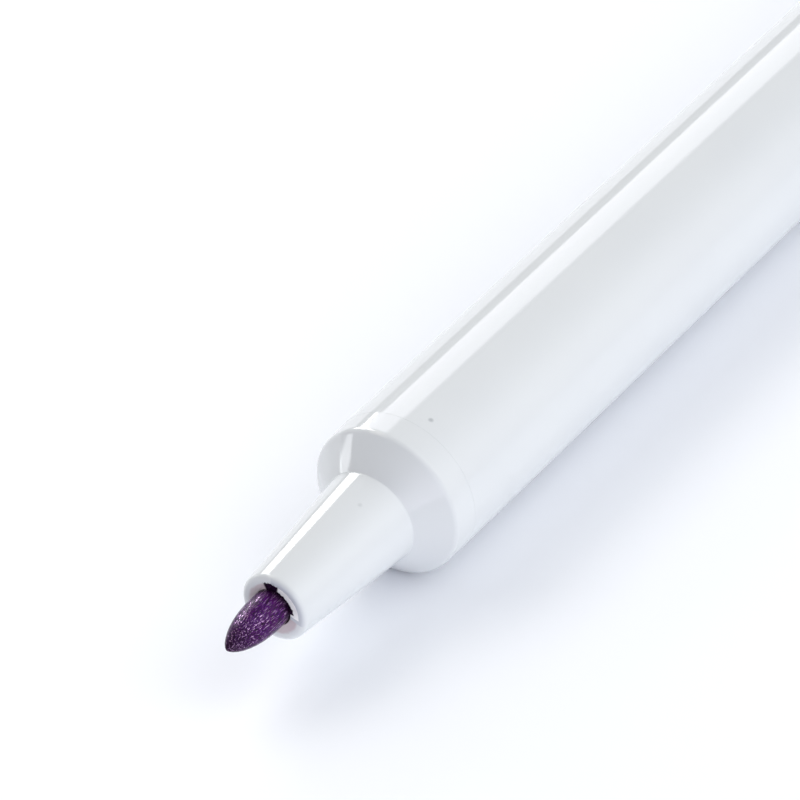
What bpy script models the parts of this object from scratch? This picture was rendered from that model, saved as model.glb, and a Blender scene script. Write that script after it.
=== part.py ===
"""Fabric marker with disappearing ink, lying on a table with its cap posted on the back end.

Metres, +Z up. The marker lies along X with its nib towards -X. The origin is on the table,
under the middle of the object's box. Every turned piece is a profile of (radius, distance along
the marker), where the distance runs from the nose's front face towards the cap.
"""

import math

import bmesh
import bpy
from mathutils import Matrix, Vector

# Barrel: a straight tube, cut to length
BARREL_DIAMETER = 0.0105
BARREL_WALL = 0.0008
BARREL_LENGTH = 0.088
BARREL_EDGE_CHAMFER = 0.0001

# Nose section: a slim cone, a steep shoulder and a land that is flush with the barrel
CONE_LENGTH = 0.0103
CONE_BASE_DIAMETER = 0.0064
LIP_DIAMETER = 0.0046
LIP_ROUND = 0.00025
SHOULDER_LENGTH = 0.00175
SHOULDER_ROUND = 0.0003
LAND_LENGTH = 0.00185
MOUTH_DIAMETER = 0.0037
MOUTH_DEPTH = 0.0014
NIB_SEAT_LENGTH = 0.0100
NOSE_SPIGOT_LENGTH = 0.0080
NOSE_SPIGOT_WALL = 0.0009
AIR_GROOVE_COUNT = 6
AIR_GROOVE_WIDTH = 0.0006
AIR_GROOVE_DEPTH = 0.0003

# Nib: a rod of bonded fibre, shaped to a bullet at the front
NIB_DIAMETER = 0.0025
NIB_EXPOSED_LENGTH = 0.0048
NIB_BULLET_LENGTH = 0.0046
NIB_BULLET_POWER = 1.75
NIB_REACH_INTO_CORE = 0.0080
NIB_TAIL_CHAMFER = 0.0003

# Ink reservoir: a fibre core in a film sleeve
FILM_THICKNESS = 0.00025
RESERVOIR_END_GAP = 0.0003
CORE_END_CHAMFER = 0.0003

# End plug: a cup pressed into the barrel, with a collar that carries the posted cap
PLUG_SPIGOT_LENGTH = 0.0090
PLUG_FLANGE_LENGTH = 0.0015
PLUG_COLLAR_LENGTH = 0.0070
PLUG_WALL = 0.0007
PLUG_FLOOR = 0.0012
PLUG_CUP_DEPTH = 0.0100
PLUG_EDGE_ROUND = 0.0003

# Cap: a tapered shell with a moulded clip
CAP_LENGTH = 0.0400
CAP_TOP_DIAMETER = 0.0100
CAP_WALL = 0.0008
CAP_END_WALL = 0.0012
CAP_END_ROUND = 0.0005
CAP_VENT_COUNT = 3
CAP_VENT_DIAMETER = 0.0014
CAP_VENT_CIRCLE_DIAMETER = 0.0052
CLIP_LENGTH = 0.0310
CLIP_WIDTH = 0.0038
CLIP_THICKNESS = 0.0016
CLIP_GAP = 0.0013
CLIP_ROOT_LENGTH = 0.0040
CLIP_END_INSET = 0.0012
CLIP_BEAD_CLEARANCE = 0.0004
CLIP_BEAD_LENGTH = 0.0034
CLIP_EDGE_ROUND = 0.0004
CLIP_SHOULDER_ROUND = 0.0022

# Inner seal: a thimble in the cap that closes over the front of the nose
SEAL_MOUTH_DEPTH = 0.0080
SEAL_WALL = 0.0005
SEAL_NIB_CLEARANCE = 0.0005
SEAL_END_WALL = 0.0008
SEAL_FLANGE_LENGTH = 0.0016
SEAL_NOTCH_COUNT = 4
SEAL_NOTCH_WIDTH = 0.0014
SEAL_NOTCH_DEPTH = 0.0006

# Fits and facets
FIT_GAP = 0.0001
SEAM_GAP = 0.0001
RESERVOIR_GAP = 0.00025
SEGMENTS = 48
ARC_STEPS = 4
MERGE_DISTANCE = 0.000001
BEVEL_SEGMENTS = 2
CUT_OVERSHOOT = 0.001

# Radii and places along the marker that follow from the sizes above
BARREL_R = BARREL_DIAMETER / 2
BORE_R = BARREL_R - BARREL_WALL
CONE_BASE_R = CONE_BASE_DIAMETER / 2
LIP_R = LIP_DIAMETER / 2
MOUTH_R = MOUTH_DIAMETER / 2
NIB_R = NIB_DIAMETER / 2
NIB_SEAT_R = NIB_R + FIT_GAP
RIM_Z = CONE_LENGTH + SHOULDER_LENGTH
LAND_END_Z = RIM_Z + LAND_LENGTH
NOSE_SPIGOT_R = BORE_R - FIT_GAP
NOSE_END_Z = LAND_END_Z + NOSE_SPIGOT_LENGTH
BARREL_START_Z = LAND_END_Z + SEAM_GAP
BARREL_END_Z = BARREL_START_Z + BARREL_LENGTH
PLUG_FLANGE_Z = BARREL_END_Z + SEAM_GAP
PLUG_START_Z = PLUG_FLANGE_Z - PLUG_SPIGOT_LENGTH
COLLAR_START_Z = PLUG_FLANGE_Z + PLUG_FLANGE_LENGTH
COLLAR_END_Z = COLLAR_START_Z + PLUG_COLLAR_LENGTH
CAP_MOUTH_Z = COLLAR_START_Z + SEAM_GAP
CAP_END_Z = CAP_MOUTH_Z + CAP_LENGTH
CAP_BORE_R = BARREL_R - CAP_WALL
CAP_TOP_R = CAP_TOP_DIAMETER / 2
COLLAR_R = CAP_BORE_R - FIT_GAP
RESERVOIR_START_Z = NOSE_END_Z + RESERVOIR_END_GAP
RESERVOIR_END_Z = PLUG_START_Z - RESERVOIR_END_GAP
FILM_R = BORE_R - RESERVOIR_GAP
CORE_R = FILM_R - FILM_THICKNESS - FIT_GAP
NIB_TAIL_Z = RESERVOIR_START_Z + NIB_REACH_INTO_CORE
FULL_LENGTH = NIB_EXPOSED_LENGTH + CAP_END_Z

# How the marker lies: it has rolled until the clip's edge meets the table
SUPPORT_R = BARREL_R * math.cos(math.pi / SEGMENTS)
CLIP_OUTER_R = BARREL_R + CLIP_GAP + CLIP_THICKNESS
CLIP_CORNER = Vector((CLIP_OUTER_R - CLIP_EDGE_ROUND, CLIP_WIDTH / 2 - CLIP_EDGE_ROUND))
CLIP_CORNER_ANGLE = math.atan2(CLIP_CORNER.y, CLIP_CORNER.x)
CLIP_ROLL = CLIP_CORNER_ANGLE + math.acos((SUPPORT_R - CLIP_EDGE_ROUND) / CLIP_CORNER.length)
CLIP_REACH_Y = CLIP_CORNER.length * math.sin(CLIP_ROLL + CLIP_CORNER_ANGLE) + CLIP_EDGE_ROUND
AXIS_Y = (BARREL_R - CLIP_REACH_Y) / 2


def new_collection(name):
    """A collection under the scene's own."""
    collection = bpy.data.collections.new(name)
    bpy.context.scene.collection.children.link(collection)
    return collection


def plastic(name, colour, roughness, alpha=1.0):
    """A non-metal Principled material of one colour."""
    material = bpy.data.materials.new(name)
    material.use_nodes = True
    shader = material.node_tree.nodes["Principled BSDF"]
    shader.inputs["Base Color"].default_value = (*colour, 1.0)
    shader.inputs["Roughness"].default_value = roughness
    shader.inputs["Metallic"].default_value = 0.0
    shader.inputs["Alpha"].default_value = alpha
    return material


def rounded_corner(before, corner, after, radius, steps=ARC_STEPS):
    """A profile's corner between two straight runs, replaced by an arc that is tangent to both."""
    corner = Vector(corner)
    to_before = (Vector(before) - corner).normalized()
    to_after = (Vector(after) - corner).normalized()
    half_angle = to_before.angle(to_after) / 2
    centre = corner + (to_before + to_after).normalized() * (radius / math.sin(half_angle))
    start = corner + to_before * (radius / math.tan(half_angle)) - centre
    end = corner + to_after * (radius / math.tan(half_angle)) - centre
    sweep = start.angle_signed(end)
    return [tuple(centre + Matrix.Rotation(-sweep * step / steps, 2) @ start) for step in range(steps + 1)]


def turned(name, profile, material, closed=False):
    """A solid of revolution about the marker's axis.

    The profile runs down its outer side, from the cap's end towards the nib. It starts and ends on
    the axis, or is closed where the piece is a ring.
    """
    points = [(radius, 0.0, along) for radius, along in profile]
    edges = [(i, i + 1) for i in range(len(points) - 1)]
    if closed:
        edges.append((len(points) - 1, 0))
    mesh = bpy.data.meshes.new(name)
    mesh.from_pydata(points, edges, [])
    mesh.materials.append(material)
    piece = bpy.data.objects.new(name, mesh)
    screw = piece.modifiers.new("turn", "SCREW")
    screw.axis = "Z"
    screw.angle = 2 * math.pi
    screw.steps = SEGMENTS
    screw.render_steps = SEGMENTS
    screw.use_merge_vertices = True
    screw.merge_threshold = MERGE_DISTANCE
    screw.use_smooth_shade = True
    return piece


def place(piece, parent, collection):
    """Puts a piece in a collection and on the marker's axis, with a flat facet at the bottom."""
    collection.objects.link(piece)
    piece.parent = parent
    piece.rotation_euler.z = math.pi / SEGMENTS
    return piece


def as_helper(helper, parent, collection):
    """Links a cutter, or a shape that is joined into a piece, as a guide that isn't a part."""
    collection.objects.link(helper)
    helper.parent = parent
    helper.hide_render = True
    helper.display_type = "WIRE"
    return helper


def boolean(piece, helper, operation):
    """Cuts the helper out of the piece, or joins it to the piece."""
    modifier = piece.modifiers.new(helper.name, "BOOLEAN")
    modifier.operation = operation
    modifier.object = helper


def box_helper(name, size, centre, turn):
    """A box, turned about the marker's axis."""
    mesh = bpy.data.meshes.new(name)
    shape = bmesh.new()
    bmesh.ops.create_cube(shape, size=1.0)
    bmesh.ops.scale(shape, vec=size, verts=shape.verts)
    bmesh.ops.translate(shape, vec=centre, verts=shape.verts)
    shape.to_mesh(mesh)
    shape.free()
    helper = bpy.data.objects.new(name, mesh)
    helper.rotation_euler.z = turn
    return helper


def make_barrel(material):
    """The straight outer tube, with a fine chamfer at both outer edges."""
    chamfer = BARREL_EDGE_CHAMFER
    profile = [
        (BORE_R, BARREL_END_Z),
        (BARREL_R - chamfer, BARREL_END_Z),
        (BARREL_R, BARREL_END_Z - chamfer),
        (BARREL_R, BARREL_START_Z + chamfer),
        (BARREL_R - chamfer, BARREL_START_Z),
        (BORE_R, BARREL_START_Z),
    ]
    return turned("barrel", profile, material, closed=True)


def make_nose(material, parent, helpers):
    """The nib holder: mouth, cone, shoulder, land and the spigot that is pressed into the barrel."""
    spigot_bore_r = NOSE_SPIGOT_R - NOSE_SPIGOT_WALL
    seat_end_z = MOUTH_DEPTH + NIB_SEAT_LENGTH
    funnel_end_z = seat_end_z + spigot_bore_r - NIB_SEAT_R
    lip_edge = (LIP_R, 0.0)
    cone_base = (CONE_BASE_R, CONE_LENGTH)
    rim = (BARREL_R, RIM_Z)
    land_end = (BARREL_R, LAND_END_Z)
    profile = [
        (spigot_bore_r, NOSE_END_Z),
        (NOSE_SPIGOT_R, NOSE_END_Z),
        (NOSE_SPIGOT_R, LAND_END_Z),
        land_end,
    ]
    profile += rounded_corner(land_end, rim, cone_base, SHOULDER_ROUND)
    profile.append(cone_base)
    profile += rounded_corner(cone_base, lip_edge, (MOUTH_R, 0.0), LIP_ROUND)
    profile += [
        (MOUTH_R, 0.0),
        (MOUTH_R, MOUTH_DEPTH),
        (NIB_SEAT_R, MOUTH_DEPTH),
        (NIB_SEAT_R, seat_end_z),
        (spigot_bore_r, funnel_end_z),
    ]
    nose = turned("nose_section", profile, material, closed=True)
    groove_span = 2 * (NIB_SEAT_R + AIR_GROOVE_DEPTH)
    groove_length = NIB_SEAT_LENGTH + 2 * AIR_GROOVE_DEPTH
    groove_size = (groove_span, AIR_GROOVE_WIDTH, groove_length)
    groove_centre = (0.0, 0.0, MOUTH_DEPTH + NIB_SEAT_LENGTH / 2)
    for index in range(AIR_GROOVE_COUNT // 2):
        turn = math.pi * index / (AIR_GROOVE_COUNT // 2)
        groove = box_helper(f"air_groove_{index}", groove_size, groove_centre, turn)
        boolean(nose, as_helper(groove, parent, helpers), "DIFFERENCE")
    return nose


def make_nib(material):
    """The fibre rod, from its tail in the reservoir to its bullet tip."""
    tip_z = -NIB_EXPOSED_LENGTH
    bullet_base_z = tip_z + NIB_BULLET_LENGTH
    profile = [
        (0.0, NIB_TAIL_Z),
        (NIB_R - NIB_TAIL_CHAMFER, NIB_TAIL_Z),
        (NIB_R, NIB_TAIL_Z - NIB_TAIL_CHAMFER),
    ]
    bullet_steps = 3 * ARC_STEPS
    for step in range(bullet_steps):
        along = math.sin(math.pi / 2 * step / bullet_steps)
        radius = NIB_R * math.sqrt(1.0 - along**NIB_BULLET_POWER)
        profile.append((radius, bullet_base_z - NIB_BULLET_LENGTH * along))
    profile.append((0.0, tip_z))
    return turned("nib", profile, material)


def make_reservoir_core(material):
    """The ink-soaked fibre rod, with the blind hole that the nib's tail presses into it."""
    hole_r = NIB_R + FIT_GAP
    hole_end_z = NIB_TAIL_Z + FIT_GAP
    profile = [
        (0.0, RESERVOIR_END_Z),
        (CORE_R - CORE_END_CHAMFER, RESERVOIR_END_Z),
        (CORE_R, RESERVOIR_END_Z - CORE_END_CHAMFER),
        (CORE_R, RESERVOIR_START_Z + CORE_END_CHAMFER),
        (CORE_R - CORE_END_CHAMFER, RESERVOIR_START_Z),
        (hole_r, RESERVOIR_START_Z),
        (hole_r, hole_end_z),
        (0.0, hole_end_z),
    ]
    return turned("reservoir_core", profile, material)


def make_reservoir_film(material):
    """The film sleeve round the core, open at both ends."""
    inner_r = FILM_R - FILM_THICKNESS
    profile = [
        (inner_r, RESERVOIR_END_Z),
        (FILM_R, RESERVOIR_END_Z),
        (FILM_R, RESERVOIR_START_Z),
        (inner_r, RESERVOIR_START_Z),
    ]
    return turned("reservoir_film", profile, material, closed=True)


def make_end_plug(material):
    """The cup in the barrel's back end: spigot, flush flange and the collar for the posted cap."""
    spigot_r = BORE_R - FIT_GAP
    cup_r = COLLAR_R - PLUG_WALL
    cup_floor_z = COLLAR_END_Z - PLUG_CUP_DEPTH
    core_r = spigot_r - PLUG_WALL
    core_top_z = cup_floor_z - PLUG_FLOOR
    cup_edge = (cup_r, COLLAR_END_Z)
    collar_edge = (COLLAR_R, COLLAR_END_Z)
    collar_foot = (COLLAR_R, COLLAR_START_Z)
    spigot_root = (spigot_r, PLUG_FLANGE_Z)
    spigot_edge = (spigot_r, PLUG_START_Z)
    core_edge = (core_r, PLUG_START_Z)
    profile = [(0.0, cup_floor_z), (cup_r, cup_floor_z), cup_edge]
    profile += rounded_corner(cup_edge, collar_edge, collar_foot, PLUG_EDGE_ROUND)
    profile += [collar_foot, (BARREL_R, COLLAR_START_Z), (BARREL_R, PLUG_FLANGE_Z), spigot_root]
    profile += rounded_corner(spigot_root, spigot_edge, core_edge, PLUG_EDGE_ROUND)
    profile += [core_edge, (core_r, core_top_z), (0.0, core_top_z)]
    return turned("end_plug", profile, material)


def clip_outline():
    """The clip's side view: (along the cap, out from its axis), with a gripping bead under its tip."""
    root_end = CAP_LENGTH - CLIP_END_INSET
    root_face = root_end - CLIP_ROOT_LENGTH
    tip = root_end - CLIP_LENGTH
    inner = BARREL_R + CLIP_GAP
    bead_bottom = BARREL_R + CLIP_BEAD_CLEARANCE
    sunk = CAP_TOP_R - CLIP_ROOT_LENGTH / 2
    root_corner = (root_end, CLIP_OUTER_R)
    tip_corner = (tip, CLIP_OUTER_R)
    bead_corner = (tip, bead_bottom)
    bead_flat_end = (tip + CLIP_BEAD_LENGTH / 2, bead_bottom)
    outline = [(root_end, sunk)]
    outline += rounded_corner((root_end, sunk), root_corner, tip_corner, CLIP_SHOULDER_ROUND)
    outline += rounded_corner(root_corner, tip_corner, bead_corner, CLIP_THICKNESS / 2)
    outline += rounded_corner(tip_corner, bead_corner, bead_flat_end, CLIP_EDGE_ROUND)
    outline += [bead_flat_end, (tip + CLIP_BEAD_LENGTH, inner), (root_face, inner), (root_face, sunk)]
    return outline


def clip_shape(parent, helpers):
    """The clip as a closed mesh in the cap's place, ready to be joined to the shell."""
    curve = bpy.data.curves.new("clip", "CURVE")
    curve.dimensions = "2D"
    curve.fill_mode = "BOTH"
    curve.extrude = CLIP_WIDTH / 2
    outline = clip_outline()
    spline = curve.splines.new("POLY")
    spline.points.add(len(outline) - 1)
    for point, (along, out) in zip(spline.points, outline):
        point.co = (along, out, 0.0, 1.0)
    spline.use_cyclic_u = True
    drawn = bpy.data.objects.new("clip_outline", curve)
    helpers.objects.link(drawn)
    graph = bpy.context.evaluated_depsgraph_get()
    mesh = bpy.data.meshes.new_from_object(drawn.evaluated_get(graph))
    bpy.data.objects.remove(drawn)
    shape = bmesh.new()
    shape.from_mesh(mesh)
    bmesh.ops.remove_doubles(shape, verts=shape.verts, dist=MERGE_DISTANCE)
    bmesh.ops.dissolve_degenerate(shape, dist=MERGE_DISTANCE, edges=shape.edges)
    bmesh.ops.dissolve_limit(shape, angle_limit=math.radians(1), verts=shape.verts, edges=shape.edges)
    along_to_z = Matrix(((0, 1, 0, 0), (0, 0, 1, 0), (1, 0, 0, CAP_MOUTH_Z), (0, 0, 0, 1)))
    bmesh.ops.transform(shape, matrix=along_to_z, verts=shape.verts)
    bmesh.ops.recalc_face_normals(shape, faces=shape.faces)
    shape.to_mesh(mesh)
    shape.free()
    clip = bpy.data.objects.new("clip", mesh)
    bevel = clip.modifiers.new("round", "BEVEL")
    bevel.width = CLIP_EDGE_ROUND
    bevel.segments = BEVEL_SEGMENTS
    bevel.limit_method = "ANGLE"
    bevel.angle_limit = math.radians(60)
    return as_helper(clip, parent, helpers)


def make_cap_shell(material, parent, helpers):
    """The tapered shell with its end wall, vent holes and clip, in place on the plug's collar."""
    end_edge = (CAP_TOP_R, CAP_END_Z)
    mouth_edge = (BARREL_R, CAP_MOUTH_Z)
    profile = [(0.0, CAP_END_Z)]
    profile += rounded_corner((0.0, CAP_END_Z), end_edge, mouth_edge, CAP_END_ROUND)
    profile += [mouth_edge, (0.0, CAP_MOUTH_Z)]
    shell = turned("cap_shell", profile, material)
    boolean(shell, clip_shape(parent, helpers), "UNION")
    bore_profile = [
        (0.0, CAP_END_Z - CAP_END_WALL),
        (CAP_TOP_R - CAP_WALL, CAP_END_Z - CAP_END_WALL),
        (CAP_BORE_R, COLLAR_END_Z + FIT_GAP),
        (CAP_BORE_R, CAP_MOUTH_Z - CUT_OVERSHOOT),
        (0.0, CAP_MOUTH_Z - CUT_OVERSHOOT),
    ]
    bore = turned("cap_bore", bore_profile, material)
    bore.rotation_euler.z = math.pi / SEGMENTS
    boolean(shell, as_helper(bore, parent, helpers), "DIFFERENCE")
    for index in range(CAP_VENT_COUNT):
        mesh = bpy.data.meshes.new(f"vent_{index}")
        shape = bmesh.new()
        bmesh.ops.create_cone(
            shape,
            cap_ends=True,
            segments=SEGMENTS // 3,
            radius1=CAP_VENT_DIAMETER / 2,
            radius2=CAP_VENT_DIAMETER / 2,
            depth=CAP_END_WALL + 2 * CUT_OVERSHOOT,
        )
        shape.to_mesh(mesh)
        shape.free()
        vent = bpy.data.objects.new(f"vent_{index}", mesh)
        turn = 2 * math.pi * (index + 0.5) / CAP_VENT_COUNT
        out = CAP_VENT_CIRCLE_DIAMETER / 2
        vent.location = (out * math.cos(turn), out * math.sin(turn), CAP_END_Z - CAP_END_WALL / 2)
        boolean(shell, as_helper(vent, parent, helpers), "DIFFERENCE")
    return shell


def cone_r_at(depth):
    """The nose cone's radius at a depth into the cap, when the cap's mouth sits on the shoulder's rim."""
    along = RIM_Z - depth
    return LIP_R + (CONE_BASE_R - LIP_R) * along / CONE_LENGTH


def cap_bore_r_at(depth):
    """The shell's inner radius at a depth from the cap's mouth."""
    taper_start = COLLAR_END_Z + FIT_GAP - CAP_MOUTH_Z
    taper_end = CAP_LENGTH - CAP_END_WALL
    share = (depth - taper_start) / (taper_end - taper_start)
    return CAP_BORE_R + (CAP_TOP_R - CAP_WALL - CAP_BORE_R) * share


def make_cap_seal(material, parent, helpers):
    """The thimble that closes over the nose when the cap is on, held in the shell by its flange."""
    lip_depth = RIM_Z
    chamber_depth = lip_depth + NIB_EXPOSED_LENGTH + SEAL_NIB_CLEARANCE
    end_depth = chamber_depth + SEAL_END_WALL
    flange_depth = end_depth - SEAL_FLANGE_LENGTH
    flange_r = cap_bore_r_at(end_depth) - FIT_GAP
    mouth_r = cone_r_at(SEAL_MOUTH_DEPTH) + FIT_GAP
    lip_seat_r = LIP_R + FIT_GAP
    chamber_r = NIB_R + SEAL_NIB_CLEARANCE
    body_r = mouth_r + SEAL_WALL
    profile = [
        (0.0, end_depth),
        (flange_r, end_depth),
        (flange_r, flange_depth),
        (body_r, flange_depth),
        (body_r, SEAL_MOUTH_DEPTH),
        (mouth_r, SEAL_MOUTH_DEPTH),
        (lip_seat_r, lip_depth),
        (chamber_r, lip_depth + FIT_GAP),
        (chamber_r, chamber_depth),
        (0.0, chamber_depth),
    ]
    seal = turned("cap_inner_seal", [(radius, CAP_MOUTH_Z + depth) for radius, depth in profile], material)
    notch_size = (2 * SEAL_NOTCH_DEPTH, SEAL_NOTCH_WIDTH, SEAL_FLANGE_LENGTH + 2 * FIT_GAP)
    for index in range(SEAL_NOTCH_COUNT):
        turn = 2 * math.pi * index / SEAL_NOTCH_COUNT
        centre = (flange_r, 0.0, CAP_MOUTH_Z + end_depth - SEAL_FLANGE_LENGTH / 2)
        notch = box_helper(f"seal_notch_{index}", notch_size, centre, turn)
        boolean(seal, as_helper(notch, parent, helpers), "DIFFERENCE")
    return seal


def main():
    for leftover in list(bpy.data.objects):
        bpy.data.objects.remove(leftover)
    parts = new_collection("fabric_marker")
    helpers = new_collection("cutters")

    white = plastic("white_polypropylene", (0.86, 0.87, 0.88), 0.25)
    violet = plastic("violet_polypropylene", (0.20, 0.07, 0.36), 0.3)
    ink_fibre = plastic("inked_fibre", (0.055, 0.015, 0.09), 0.6)
    core_fibre = plastic("soaked_fibre", (0.16, 0.06, 0.28), 0.9)
    film = plastic("clear_film", (0.85, 0.86, 0.90), 0.15, alpha=0.4)
    seal_white = plastic("natural_polyethylene", (0.80, 0.80, 0.78), 0.45)

    axis = bpy.data.objects.new("marker_axis", None)
    parts.objects.link(axis)
    axis.location = (NIB_EXPOSED_LENGTH - FULL_LENGTH / 2, AXIS_Y, SUPPORT_R)
    axis.rotation_euler = (0.0, math.pi / 2, 0.0)

    cap_axis = bpy.data.objects.new("cap_axis", None)
    parts.objects.link(cap_axis)
    cap_axis.parent = axis
    cap_axis.rotation_euler.z = CLIP_ROLL

    place(make_barrel(white), axis, parts)
    place(make_nose(white, axis, helpers), axis, parts)
    place(make_nib(ink_fibre), axis, parts)
    place(make_reservoir_core(core_fibre), axis, parts)
    place(make_reservoir_film(film), axis, parts)
    place(make_end_plug(violet), axis, parts)
    place(make_cap_shell(violet, cap_axis, helpers), axis, parts)
    place(make_cap_seal(seal_white, axis, helpers), axis, parts)


main()
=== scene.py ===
"""Looks of the fabric marker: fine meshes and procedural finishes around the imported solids.

The marker lies along X with its nib towards -X. Sizes are metres. A profile is a list of corners
(distance along the marker from the nose's front face, radius about its axis).
"""

from __future__ import annotations

import logging
import math
from dataclasses import dataclass, field
from enum import Enum
from typing import Any, NamedTuple, Sequence

import bmesh
import bpy
from mathutils import Matrix, Quaternion, Vector

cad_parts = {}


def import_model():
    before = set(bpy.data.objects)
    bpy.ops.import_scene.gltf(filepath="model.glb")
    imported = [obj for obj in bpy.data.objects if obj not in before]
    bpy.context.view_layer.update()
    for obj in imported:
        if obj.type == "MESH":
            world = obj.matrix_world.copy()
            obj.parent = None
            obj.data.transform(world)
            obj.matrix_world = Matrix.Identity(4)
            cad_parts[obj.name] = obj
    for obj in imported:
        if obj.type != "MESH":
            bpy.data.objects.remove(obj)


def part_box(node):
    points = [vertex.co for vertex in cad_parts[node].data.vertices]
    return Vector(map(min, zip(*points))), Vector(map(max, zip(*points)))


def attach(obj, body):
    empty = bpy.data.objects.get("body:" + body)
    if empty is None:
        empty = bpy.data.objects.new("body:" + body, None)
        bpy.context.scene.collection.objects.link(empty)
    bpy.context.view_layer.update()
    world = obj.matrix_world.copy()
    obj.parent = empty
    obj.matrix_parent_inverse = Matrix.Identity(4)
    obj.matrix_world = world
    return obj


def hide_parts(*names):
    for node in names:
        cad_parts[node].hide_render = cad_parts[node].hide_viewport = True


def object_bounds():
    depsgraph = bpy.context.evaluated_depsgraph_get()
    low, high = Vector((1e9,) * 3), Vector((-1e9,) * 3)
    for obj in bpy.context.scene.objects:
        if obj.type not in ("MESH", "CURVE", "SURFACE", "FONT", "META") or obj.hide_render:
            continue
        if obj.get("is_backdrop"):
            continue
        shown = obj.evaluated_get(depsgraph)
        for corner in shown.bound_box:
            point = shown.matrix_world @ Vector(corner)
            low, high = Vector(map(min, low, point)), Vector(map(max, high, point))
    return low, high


LOG = logging.getLogger("fabric_marker")
MM = 0.001
IMAGE_SIDE_PX = 800
CAMERA_AIM = 12.05 * MM
MERGE_DISTANCE = 0.0001 * MM
SHARP_ANGLE = math.radians(38)
HOLE_FACETS = 24
# Sockets of a Mix node that mixes colours: its other kinds share their names.
MIX_FACTOR, MIX_FIRST, MIX_SECOND, MIX_RESULT = 0, 6, 7, 2


class Body(Enum):
    """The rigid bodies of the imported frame."""

    MARKER = "marker"
    CAP = "cap"


class Slot(Enum):
    """The record's material slots."""

    WHITE_PLASTIC = "white_plastic"
    VIOLET_PLASTIC = "violet_plastic"
    INKED_FIBRE = "inked_fibre"
    SOAKED_FIBRE = "soaked_fibre"
    CLEAR_FILM = "clear_film"
    SEAL_PLASTIC = "seal_plastic"


class Reach(Enum):
    """What a softbox lights. Flags beside it keep its light off the rest."""

    ALL = "the part and the table"
    PART = "the part"
    TABLE = "the table"


class Corner(NamedTuple):
    """One corner of a turned profile, with the radius of its fillet."""

    along: float
    radius: float
    fillet: float = 0.0


def linear(hex_colour: str) -> tuple[float, float, float, float]:
    """Turns an sRGB hex colour into a linear RGBA colour.

    Args:
        hex_colour: The colour as six hex digits after a #.

    Returns:
        Red, green, blue and an alpha of 1.
    """
    channels = [int(hex_colour[i : i + 2], 16) / 255 for i in (1, 3, 5)]
    curve = [c / 12.92 if c <= 0.04045 else ((c + 0.055) / 1.055) ** 2.4 for c in channels]
    return (*curve, 1.0)


def add_node(
    tree: bpy.types.NodeTree,
    kind: str,
    inputs: dict[int | str, Any] | None = None,
    **settings: Any,
) -> bpy.types.Node:
    """Adds one node to a tree, sets it up and links it.

    Args:
        tree: The node tree that gets the node.
        kind: Blender's type name of the node.
        inputs: For each input, by name or number, a value or the output socket that feeds it.
        **settings: Properties of the node itself.

    Returns:
        The new node.
    """
    node = tree.nodes.new(kind)
    for name, value in settings.items():
        setattr(node, name, value)
    for key, value in (inputs or {}).items():
        if isinstance(value, bpy.types.NodeSocket):
            tree.links.new(value, node.inputs[key])
        else:
            node.inputs[key].default_value = value
    return node


def link_object(name: str, data: bpy.types.ID) -> bpy.types.Object:
    """Links a new object into the scene.

    Args:
        name: Its name.
        data: The mesh, light or camera that it holds.

    Returns:
        The object.
    """
    made = bpy.data.objects.new(name, data)
    bpy.context.scene.collection.objects.link(made)
    return made


def settle(piece: bpy.types.Object, modifier: bpy.types.Modifier, material: bpy.types.Material) -> None:
    """Leaves what a modifier makes of an object as the object's plain mesh.

    Args:
        piece: The object.
        modifier: Its only modifier, which goes.
        material: The mesh's finish.
    """
    graph = bpy.context.evaluated_depsgraph_get()
    mesh = bpy.data.meshes.new_from_object(piece.evaluated_get(graph))
    mesh.materials.clear()
    mesh.materials.append(material)
    piece.modifiers.remove(modifier)
    piece.data = mesh


def new_material(name: str) -> tuple[bpy.types.Material, bpy.types.NodeTree, bpy.types.Node]:
    """Makes a plain material.

    Args:
        name: What it is.

    Returns:
        The material, its nodes and its shader.
    """
    material = bpy.data.materials.new(name)
    material.use_nodes = True
    tree = material.node_tree
    return material, tree, tree.nodes["Principled BSDF"]


def rounded_profile(
    corners: Sequence[Corner],
    steps: int = 8,
    support: float = 0.06 * MM,
    shortest_run: float = 0.24 * MM,
) -> list[tuple[float, float]]:
    """Rounds a profile's corners and adds points near the ends of its straight runs.

    The added points keep the shading of a fillet from spreading over the run beside it.

    Args:
        corners: The profile's corners in order; the first and the last have no fillet.
        steps: Points on a fillet's arc.
        support: How far from a run's ends its added points lie.
        shortest_run: How long a run must be to get them.

    Returns:
        The points (along, radius) of the profile.
    """
    points: list[Vector] = []
    for index, corner in enumerate(corners):
        here = Vector(corner[:2])
        if not corner.fillet:
            points.append(here)
            continue
        back = (Vector(corners[index - 1][:2]) - here).normalized()
        ahead = (Vector(corners[index + 1][:2]) - here).normalized()
        half_angle = back.angle(ahead) / 2
        centre = here + (back + ahead).normalized() * (corner.fillet / math.sin(half_angle))
        start = here + back * (corner.fillet / math.tan(half_angle)) - centre
        end = here + ahead * (corner.fillet / math.tan(half_angle)) - centre
        turn = -start.angle_signed(end) / steps
        points += [centre + Matrix.Rotation(turn * step, 2) @ start for step in range(steps + 1)]
    supported = [points[0]]
    for before, after in zip(points, points[1:]):
        run = after - before
        if run.length > shortest_run:
            supported += [before + run.normalized() * support, after - run.normalized() * support]
        supported.append(after)
    return [tuple(point) for point in supported]


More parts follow.
